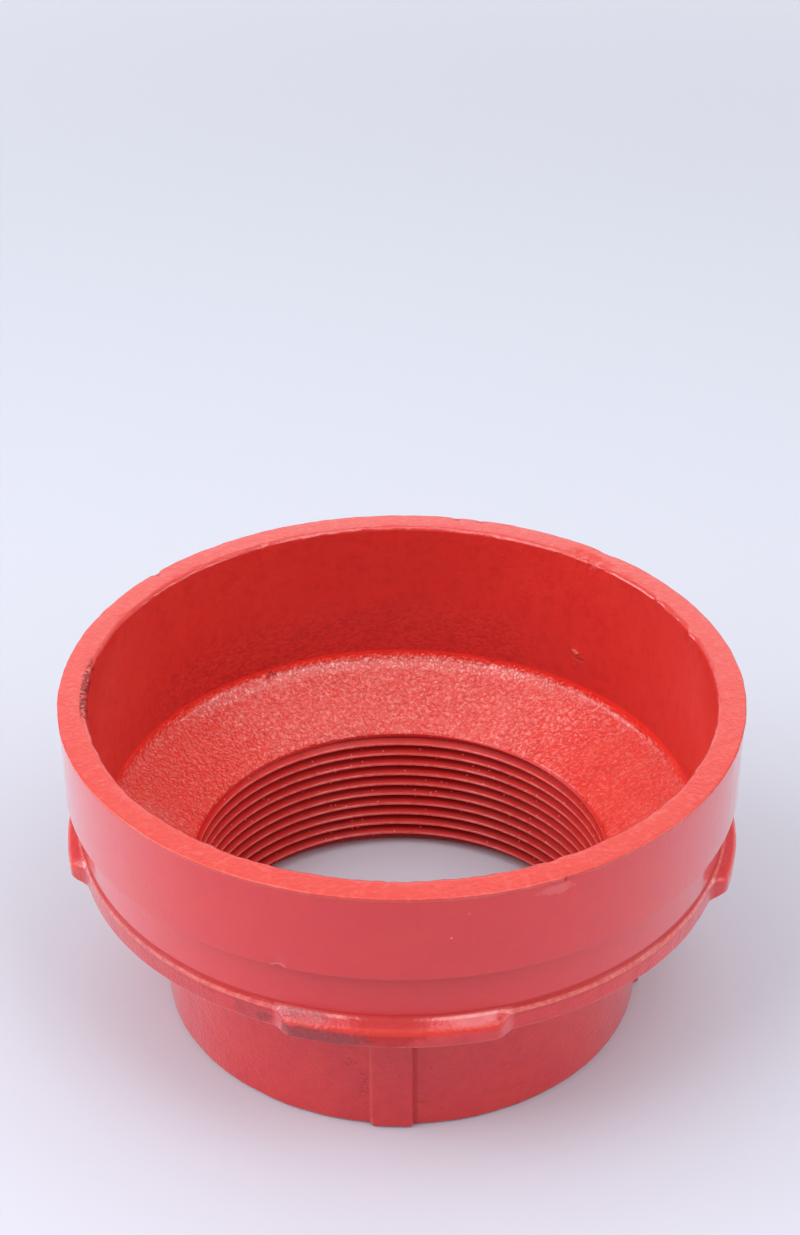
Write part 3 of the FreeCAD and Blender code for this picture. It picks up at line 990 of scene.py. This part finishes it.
def lose_rim_paint(surface):
    """Wears the enamel through on the rim's inner edge at the left."""
    grain = surface.wiring.noise(surface.place, size=0.7, roughness=0.6)
    grain = surface.wiring.fade(grain, 0.42, 0.56, 0.15, 1.0)
    edge = surface.band("rim_inner_edge", "rim_wear")
    lost = surface.wiring.times(surface.patch("rim_wear"), edge, grain)
    surface.paint(lost, WORN_ENAMEL, roughness=0.45)
    surface.lift(lost, grains=-6.0)


def cup_wall_enamel(groups):
    """Enamel on the cup's cast wall: fine grain, sparse pits and a few bright specks."""
    surface = Enamel("cup_wall_enamel", groups, WALL_ENAMEL, roughness=0.32, grain_size=0.9,
                     grain_depth=0.050, swell=1.0, thin_share=0.15, deep_share=0.35, coat=0.05,
                     edge_coat=0.3)
    wiring = surface.wiring
    # The paint shines on the rim's inner edge: gloss, with a painted highlight
    shine = surface.uneven(surface.band("wall_top"), 0.35, 0.6, 0.4)
    surface.gloss(shine)
    surface.paint(shine, FLECK_AND_HIGHLIGHT, share=0.08)
    lose_rim_paint(surface)
    # The wall is smoother at both sides than at the back, and coarse low down
    surface.smooth(wiring.between(surface.band("wall_back"), 0.6, 0.0))
    low = surface.band("wall_low", "wall_coarse")
    bumps = surface.bumps(size=1.0, flatness=1.7)
    surface.lift(wiring.times(low, bumps), grains=1.5)
    hollows = wiring.times(wiring.fade(bumps, 0.35, 0.1), low)
    surface.paint(hollows, DEEP_ENAMEL_AND_SHADE, share=0.6)
    pits = wiring.times(surface.spots(spacing=3.0, size=0.4, share=0.10, flatness=1.8), low)
    surface.paint(pits, DEEP_ENAMEL_AND_SHADE, share=0.6)
    surface.lift(pits, grains=-3.0)
    specks = surface.spots(spacing=3.5, size=0.22, share=0.07)
    surface.paint(specks, FLECK_AND_HIGHLIGHT, share=0.6)
    surface.lift(specks, grains=4.0)
    brighten_wall_foot(surface)
    # A blister low on the wall at the right, raised in the surface, with a painted highlight above and
    # painted shade below
    pale = surface.patch("blister_top")
    surface.paint(pale, FLECK_AND_HIGHLIGHT, share=0.35)
    dark = surface.patch("blister_foot")
    surface.paint(dark, DEEP_ENAMEL_AND_SHADE, share=0.7)
    surface.lift(wiring.math("SUBTRACT", pale, dark), grains=5.0)
    return surface.finish()


def brighten_wall_foot(surface):
    """Brightens the lowest strip of the cup's wall, where the floor throws light on it."""
    surface.paint(surface.band("wall_foot"), LIT_ENAMEL, share=0.7)


def cup_floor_enamel(groups):
    """Enamel on the funnel floor, in a lighter red as painted light, with a coarse orange peel and
    painted glints and highlights on it.
    """
    surface = Enamel("cup_floor_enamel", groups, LIT_SHELF_ENAMEL, roughness=0.18, grain_size=0.8,
                     grain_depth=0.150, swell=0.6, thin_share=0.6, deep_share=0.25, coat=0.35)
    wiring = surface.wiring
    bumps = surface.bumps(size=0.7)
    surface.lift(bumps, grains=1.0)
    # Painted highlights on the tops of the bumps, strongest at the back
    tops = wiring.fade(bumps, 0.5, 0.9)
    back = surface.band("floor_back")
    surface.paint(wiring.times(tops, wiring.between(back, 0.16, 0.45)), FLECK_AND_HIGHLIGHT)
    # A mottle of painted glints and darker enamel lies most at the back, and painted sparkle most at the
    # left and the back, where the light falls
    lit_side = wiring.math("SUBTRACT", 1.0, surface.band("floor_unlit"))
    mottle = wiring.noise(surface.place, size=0.75, roughness=0.6)
    mottled = wiring.between(back, 0.12, 0.30)
    surface.paint(wiring.times(wiring.fade(mottle, 0.52, 0.64), mottled), GLINT)
    surface.paint(wiring.times(wiring.fade(mottle, 0.48, 0.38), mottled), DEEP_ENAMEL_AND_SHADE)
    sparkle = surface.spots(spacing=0.9, size=0.18, share=0.45)
    surface.paint(wiring.times(sparkle, wiring.between(lit_side, 0.06, 0.4)), GLINT)
    surface.lift(sparkle, grains=0.8)
    surface.smooth(wiring.between(lit_side, 0.5, 0.0))
    # A painted line of light, with gloss, runs along the corner under the wall
    corner_line = wiring.times(surface.band("floor_corner"), wiring.fade(tops, 0.0, 0.7, 0.2, 1.0))
    shining = wiring.between(surface.band("corner_back"), 0.12, 0.65)
    surface.paint(wiring.times(corner_line, shining), GLINT)
    surface.gloss(corner_line)
    brighten_wall_foot(surface)
    surface.paint(surface.patch("floor_nick"), DEEP_ENAMEL_AND_SHADE, share=0.8, roughness=0.5)
    return surface.finish()


def paint_ring_ledge_light(surface):
    """Makes the stop ring's ledge shine, with gloss and a painted highlight, over painted shade for a
    faint hollow under its crest.
    """
    ledge = surface.band("ledge_height", "ledge_radius")
    surface.gloss(ledge)
    surface.paint(surface.uneven(ledge, 0.35, 0.65, 0.25, 0.65), FLECK_AND_HIGHLIGHT)
    surface.paint(surface.band("hollow_height", "hollow_radius"), DEEP_ENAMEL_AND_SHADE, share=0.3)


def mark_front_lug_top(surface):
    """Paints shade on the middle of the front lug's upper side and dulls it, with a dusty left and a
    glossy right end.
    """
    top = surface.band("lug_top")
    # Painted shade on the middle of the lug's upper side
    middle = surface.wiring.times(surface.patch("lug_middle"), top)
    surface.paint(middle, SHADE_ENAMEL, share=0.9, roughness=0.55)
    dusty = surface.wiring.times(surface.patch("lug_left_end"), top)
    surface.paint(surface.uneven(dusty, 0.35, 0.65, 0.5), DUSTY_ENAMEL)
    surface.dull(dusty, share=0.8)
    shine = surface.wiring.times(surface.patch("lug_right_end"), top)
    surface.gloss(shine, share=0.6)
    surface.smooth(shine, share=0.8)


def rub_front_lug(surface):
    """Rubs the front lug's face grey at its left, with the ring's end beside it, which is sandy."""
    wiring = surface.wiring
    grain = wiring.noise(surface.place, size=0.4, detail=3.0, roughness=0.65)
    grain = wiring.fade(grain, 0.40, 0.60, 0.6, 1.0)
    face = surface.band("lug_face_radius", "lug_face_height")
    rubbed = wiring.times(surface.patch("lug_face"), face, grain)
    surface.paint(rubbed, RUBBED_ENAMEL, roughness=0.5)
    stain = wiring.times(surface.patch("ring_stain"), grain)
    surface.paint(stain, RUBBED_ENAMEL, share=0.45, roughness=0.5)
    end = wiring.times(surface.patch("ring_end"), grain)
    surface.paint(end, RUBBED_ENAMEL, share=0.7, roughness=0.5)
    surface.lift(wiring.times(surface.patch("lug_rough"), surface.ragged_grain), grains=3.0)
    sandy = wiring.times(surface.patch("ring_left"), surface.band("ring_face"), grain)
    surface.lift(sandy, grains=2.0)
    surface.paint(sandy, DUSTY_ENAMEL, share=0.28)


def paint_rib_light_and_shade(surface):
    """Paints a highlight on the side at the left of each rib and shade on the other one."""
    wiring = surface.wiring
    half_pitch = FULL_TURN / RIB_COUNT / 2
    off_rib = wiring.math("WRAP", surface.position["Angle"], half_pitch, -half_pitch)
    neck = surface.band("neck")
    side = math.degrees(math.asin(RIB_WIDTH / 2 / NECK_RADIUS))
    pale = wiring.times(wiring.band(off_rib, -side - 0.5, -side, soft=0.25), neck)
    surface.paint(pale, FLECK_AND_HIGHLIGHT, share=0.10)
    dark = wiring.times(wiring.band(off_rib, side + 0.1, side + 0.9, soft=0.3), neck)
    surface.paint(dark, DEEP_ENAMEL_AND_SHADE, share=0.6, roughness=0.5)


def cast_enamel(groups):
    """Enamel on the stop ring, its lugs, the cone and the neck, rubbed on the front lug."""
    surface = Enamel("cast_enamel", groups, CAST_ENAMEL, roughness=0.28, grain_size=0.7,
                     grain_depth=0.040, swell=1.0, thin_share=0.3, deep_share=0.3, coat=0.2,
                     edge_coat=0.6, coat_from=0.35, coat_to=0.65)
    wiring = surface.wiring
    surface.lift(surface.bumps(size=0.7), grains=0.7)
    paint_ring_ledge_light(surface)
    mark_front_lug_top(surface)
    paint_groove_foot_shade(surface)
    pits = surface.spots(spacing=1.6, size=0.22, share=0.12)
    surface.paint(pits, DEEP_ENAMEL_AND_SHADE, share=0.5)
    surface.lift(pits, grains=-3.0)
    # The crests of the lugs are painted a lighter orange: thin enamel, and partly painted light on their
    # rounded edge
    crest = surface.band("lug_crest_height", "lug_crest_radius")
    surface.paint(crest, THIN_ENAMEL, share=0.45, roughness=0.45)
    rub_front_lug(surface)
    # Dark specks beside the front rib and near the neck's foot
    specks = wiring.noise(surface.place, size=0.55, roughness=0.6)
    specks = wiring.fade(specks, 0.50, 0.62, 0.0, 0.9)
    for name in ("rib_specks", "high_specks", "foot_specks"):
        surface.paint(wiring.times(surface.patch(name), specks), DEEP_ENAMEL_AND_SHADE)
    paint_rib_light_and_shade(surface)
    return surface.finish()


def thread_enamel(groups):
    """Enamel on the thread: painted highlights on the crests, flecks, and painted shade in the roots."""
    surface = Enamel("thread_enamel", groups, ENAMEL, roughness=0.34, grain_size=0.6,
                     grain_depth=0.018, swell=1.0, thin_share=0.1, deep_share=0.4, coat=0.0,
                     edge_coat=0.1)
    wiring = surface.wiring
    surface.shader.inputs["Specular IOR Level"].default_value = THREAD_SHEEN
    # Painted shade darkens the roots, less at the right, where light reaches into them
    depth = wiring.fade(surface.position["Radius"], CREST_RADIUS + 0.15, ROOT_RADIUS - 0.25)
    less_root_shade = wiring.between(surface.band("thread_right"), 1.0, 0.6)
    root_shade = wiring.times(depth, surface.band("thread_turns"), less_root_shade)
    surface.paint(root_shade, CHIP_AND_ROOT_SHADE, share=0.85, roughness=0.5)
    # Painted highlights along the crests, with gloss
    crest = wiring.fade(surface.position["Radius"], CREST_RADIUS + 0.22, CREST_RADIUS + 0.04)
    crest = surface.uneven(crest, 0.3, 0.65, 0.35)
    surface.gloss(crest)
    surface.paint(crest, FLECK_AND_HIGHLIGHT, share=0.55)
    flecks = surface.spots(spacing=1.0, size=0.22, share=0.2)
    surface.paint(flecks, FLECK_AND_HIGHLIGHT, share=0.7)
    surface.lift(flecks, grains=3.0)
    return surface.finish()


def make_materials():
    groups = {"pipe_position": pipe_position_group(), "enamel_peel": enamel_peel_group(),
              "cast_bumps": cast_bumps_group(), "enamel_tone": enamel_tone_group(),
              "scattered_spots": scattered_spots_group(), "worn_patch": worn_patch_group()}
    return {"machined": machined_enamel(groups), "cup_wall": cup_wall_enamel(groups),
            "cup_floor": cup_floor_enamel(groups), "cast": cast_enamel(groups),
            "thread": thread_enamel(groups)}


# Camera, from the photograph: its size and lens in pixels, and the point that the lens looks
# straight at
PHOTO_SIZE = (800, 1235)
PHOTO_LENS = 2445.2
PHOTO_CENTRE = (401.85, 832.75)
CAMERA_ELEVATION = 37.05
CAMERA_TURN = 2.2
CAMERA_DISTANCE = 426.9
CAMERA_TARGET = (0.0, 0.0, 30.0)
SENSOR = 36.0


def make_camera():
    data = bpy.data.cameras.new("photo_camera")
    long_side = max(PHOTO_SIZE)
    data.sensor_width = SENSOR
    data.lens = PHOTO_LENS * SENSOR / long_side
    data.shift_x = (PHOTO_SIZE[0] / 2 - PHOTO_CENTRE[0]) / long_side
    data.shift_y = (PHOTO_CENTRE[1] - PHOTO_SIZE[1] / 2) / long_side
    camera = bpy.data.objects.new("photo_camera", data)
    bpy.context.scene.collection.objects.link(camera)
    lift = math.radians(CAMERA_ELEVATION)
    turn = math.radians(CAMERA_TURN)
    away = Vector((math.sin(turn) * math.cos(lift), -math.cos(turn) * math.cos(lift), math.sin(lift)))
    camera.location = (Vector(CAMERA_TARGET) + away * CAMERA_DISTANCE) * MM
    camera.rotation_euler = away.to_track_quat("Z", "Y").to_euler()
    bpy.context.scene.camera = camera


# Floor, in metres, which lies a little under the neck's foot
FLOOR_COLOR = (0.61, 0.61, 0.675, 1)
FLOOR_HALF_SIDE = 3.0
FLOOR_DROP = 0.0001
FLOOR_ROUGHNESS = 0.7

# The far floor glows for the camera, from one distance in metres to another, so that it has no edge
GLOW_START = 0.35
GLOW_END = 1.3
GLOW = 0.7


def make_floor():
    mesh = bpy.data.meshes.new("studio_floor")
    side = FLOOR_HALF_SIDE
    mesh.from_pydata([(-side, -side, 0), (side, -side, 0), (side, side, 0), (-side, side, 0)],
                     [], [(0, 1, 2, 3)])
    floor = bpy.data.objects.new("studio_floor", mesh)
    floor.location.z = -FLOOR_DROP
    bpy.context.scene.collection.objects.link(floor)
    material = bpy.data.materials.new("pale_floor")
    material.use_nodes = True
    shader = material.node_tree.nodes["Principled BSDF"]
    shader.inputs["Base Color"].default_value = FLOOR_COLOR
    shader.inputs["Roughness"].default_value = FLOOR_ROUGHNESS
    shader.inputs["Emission Strength"].default_value = 1.0
    wiring = Wiring(material.node_tree)
    here = wiring.node("ShaderNodeTexCoord").outputs["Object"]
    away = wiring.node("ShaderNodeVectorMath", {0: here}, operation="LENGTH").outputs["Value"]
    seen = wiring.node("ShaderNodeLightPath").outputs["Is Camera Ray"]
    glow = wiring.times(wiring.fade(away, GLOW_START, GLOW_END, 0.0, GLOW), seen)
    wiring.put(shader.inputs["Emission Color"], wiring.mix(glow, (0, 0, 0, 1), (1, 1, 1, 1)))
    mesh.materials.append(material)


# Studio: a room that is dark near the floor and on the camera's side, and large soft lights
ROOM_LIGHT = 0.45
DARK_LIGHT = 0.2
SOFTBOX_COLOR = (0.91, 0.95, 1.0)
Lamp = namedtuple("Lamp", "name azimuth elevation distance width height glow")
LAMPS = [
    Lamp("overhead_softbox", 90.0, 86.0, 0.9, 0.8, 0.6, 1.6),
    Lamp("front_right_softbox", -47.0, 50.0, 1.0, 0.4, 0.8, 3.4),
    Lamp("front_left_softbox", -137.0, 46.0, 1.0, 0.4, 0.8, 3.8),
    Lamp("left_softbox", 183.0, 25.0, 1.1, 0.7, 0.7, 4.6),
    Lamp("right_softbox", -3.0, 22.0, 1.1, 0.6, 0.6, 2.9),
    Lamp("back_softbox", 90.0, 26.0, 1.1, 1.3, 0.4, 0.95),
]


def make_world():
    world = bpy.data.worlds.new("studio_room")
    bpy.context.scene.world = world
    world.use_nodes = True
    wiring = Wiring(world.node_tree)
    direction = wiring.node("ShaderNodeTexCoord").outputs["Generated"]
    parts = wiring.node("ShaderNodeSeparateXYZ", {0: direction}).outputs
    # The camera's side is dark where neither the sideways nor the upward part is large
    middle = wiring.fade(wiring.math("ABSOLUTE", parts["X"]), 0.45, 0.25)
    near = wiring.times(middle, wiring.fade(parts["Y"], 0.0, -0.2),
                        wiring.fade(parts["Z"], 0.9, 0.75))
    lit = wiring.times(wiring.fade(parts["Z"], 0.1, 0.45), wiring.math("SUBTRACT", 1.0, near))
    strength = wiring.between(lit, DARK_LIGHT, ROOM_LIGHT)
    seen = wiring.node("ShaderNodeLightPath").outputs["Is Camera Ray"]
    strength = wiring.math("MAXIMUM", strength, seen)
    background = world.node_tree.nodes["Background"]
    background.inputs["Color"].default_value = (1, 1, 1, 1)
    wiring.put(background.inputs["Strength"], strength)


def make_lamps():
    for lamp in LAMPS:
        data = bpy.data.lights.new(lamp.name, "AREA")
        data.shape = "RECTANGLE"
        data.size = lamp.width
        data.size_y = lamp.height
        data.color = SOFTBOX_COLOR
        data.energy = lamp.glow * math.pi * lamp.width * lamp.height
        light = bpy.data.objects.new(lamp.name, data)
        turn = math.radians(lamp.azimuth)
        lift = math.radians(lamp.elevation)
        away = Vector((math.cos(turn) * math.cos(lift), math.sin(turn) * math.cos(lift), math.sin(lift)))
        light.location = away * lamp.distance + Vector(CAMERA_TARGET) * MM
        light.rotation_euler = away.to_track_quat("Z", "Y").to_euler()
        bpy.context.scene.collection.objects.link(light)


bpy.context.scene.view_settings.view_transform = "Standard"
make_camera()
make_floor()
make_world()
make_lamps()
make_casting(reducer_skin(), make_materials())
